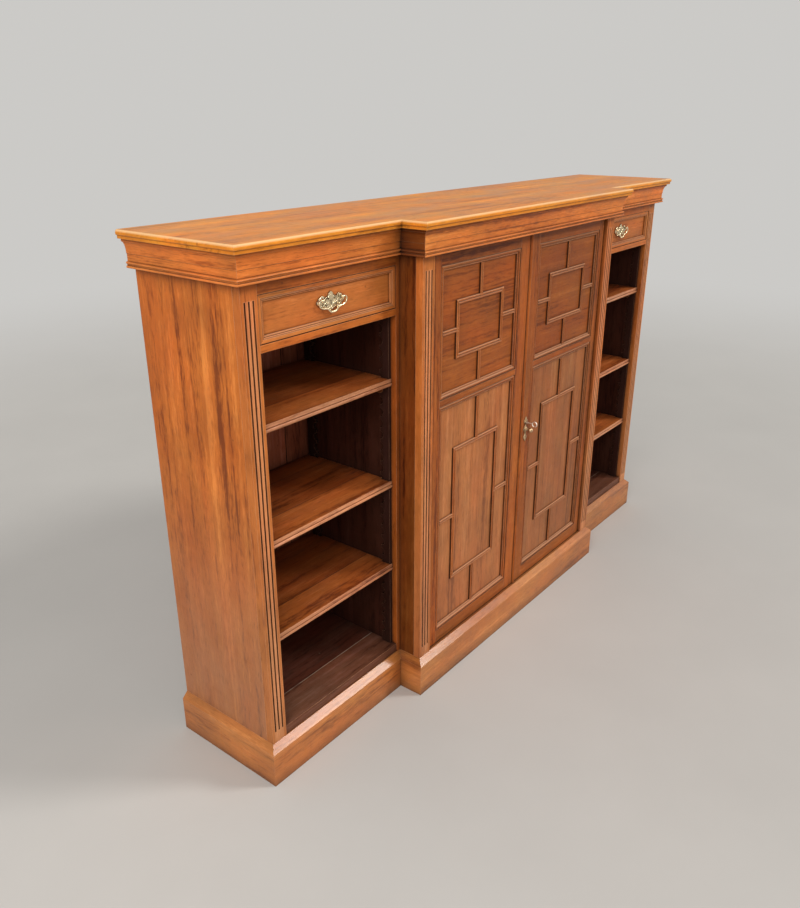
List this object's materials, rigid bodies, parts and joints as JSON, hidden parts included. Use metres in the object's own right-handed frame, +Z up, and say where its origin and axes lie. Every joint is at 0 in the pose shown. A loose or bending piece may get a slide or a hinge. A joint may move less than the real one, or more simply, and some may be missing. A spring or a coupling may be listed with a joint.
{
  "type": "breakfront bookcase",
  "caption": "Low breakfront bookcase: open shelved wings with drawers, a panelled double-door centre cupboard, moulded cornice and plinth.",
  "frame": {"origin": "on the floor under the middle of the top's outline in plan", "axes": "+X to the right along the front, +Y from the front to the back, +Z up"},
  "size_m": [1.945, 0.41, 1.22],
  "materials": {
    "walnut": "waxed walnut with a soft sheen",
    "dark_wood": "dark stained softwood, matt",
    "pale_wood": "bare planed softwood",
    "brass": "aged cast brass",
    "steel": "dull steel"
  },
  "bodies": {
    "carcase": {"top_board": "walnut", "cornice_mouldings": "walnut", "frieze_boards": "walnut", "astragal_mouldings": "walnut", "plinth_boards": "walnut", "plinth_frame": "dark_wood", "left_end_panel": "walnut", "right_end_panel": "walnut", "end_pilasters": "walnut", "centre_pilasters": "walnut", "wing_outer_sides": "dark_wood", "wing_inner_sides": "dark_wood", "centre_sides": "walnut", "wing_bottoms": "dark_wood", "centre_bottom": "dark_wood", "centre_top_panel": "dark_wood", "centre_top_rail": "walnut", "door_stop": "walnut", "left_face_frame": "walnut", "right_face_frame": "walnut", "drawer_bearers": "pale_wood", "dust_boards": "pale_wood", "back_boards": "dark_wood", "ladder_strips": "dark_wood", "shelf_battens": "dark_wood", "left_lower_shelf": "walnut", "left_middle_shelf": "walnut", "left_upper_shelf": "walnut", "right_lower_shelf": "walnut", "right_middle_shelf": "walnut", "right_upper_shelf": "walnut", "cupboard_shelves": "dark_wood", "carcase_pivots": "steel"},
    "left_door": {"left_door_stiles": "walnut", "left_door_rails": "walnut", "left_door_panels": "walnut", "left_door_mouldings": "walnut", "left_door_frets": "walnut", "left_door_pivots": "brass"},
    "right_door": {"right_door_stiles": "walnut", "right_door_rails": "walnut", "right_door_panels": "walnut", "right_door_mouldings": "walnut", "right_door_frets": "walnut", "right_door_pivots": "brass", "meeting_bead": "walnut", "escutcheon_plate": "brass", "door_lock": "steel"},
    "lock_bolt": {"lock_bolt": "brass"},
    "key": {"key": "brass"},
    "left_drawer": {"left_drawer_front": "walnut", "left_drawer_moulding": "walnut", "left_drawer_box": "pale_wood", "left_handle_plate": "brass"},
    "left_bail": {"left_bail": "brass"},
    "right_drawer": {"right_drawer_front": "walnut", "right_drawer_moulding": "walnut", "right_drawer_box": "pale_wood", "right_handle_plate": "brass"},
    "right_bail": {"right_bail": "brass"}
  },
  "joints": [
    {"name": "left_door_hinge", "type": "hinge", "parent": "carcase", "child": "left_door", "pos_m": [-0.4195, -0.1515, 0.62], "axis": [0, 0, -1], "range_deg": [0, 90]},
    {"name": "right_door_hinge", "type": "hinge", "parent": "carcase", "child": "right_door", "pos_m": [0.4195, -0.1515, 0.62], "axis": [0, 0, 1], "range_deg": [0, 90]},
    {"name": "key_turn", "type": "hinge", "parent": "right_door", "child": "key", "pos_m": [0.024, -0.163, 0.617], "axis": [0, -1, 0], "range_deg": [0, 180]},
    {"name": "lock_bolt_slide", "type": "slide", "parent": "right_door", "child": "lock_bolt", "axis": [-1, 0, 0], "range_m": [0, 0.009]},
    {"name": "left_drawer_slide", "type": "slide", "parent": "carcase", "child": "left_drawer", "axis": [0, -1, 0], "range_m": [0, 0.2]},
    {"name": "right_drawer_slide", "type": "slide", "parent": "carcase", "child": "right_drawer", "axis": [0, -1, 0], "range_m": [0, 0.2]},
    {"name": "left_bail_swing", "type": "hinge", "parent": "left_drawer", "child": "left_bail", "pos_m": [-0.691, -0.103, 1.079], "axis": [-1, 0, 0], "range_deg": [0, 80]},
    {"name": "right_bail_swing", "type": "hinge", "parent": "right_drawer", "child": "right_bail", "pos_m": [0.691, -0.103, 1.079], "axis": [-1, 0, 0], "range_deg": [0, 80]}
  ],
  "couplings": [
    {"joint": "key_turn", "follows": "lock_bolt_slide", "rad_per_m": 349}
  ]
}
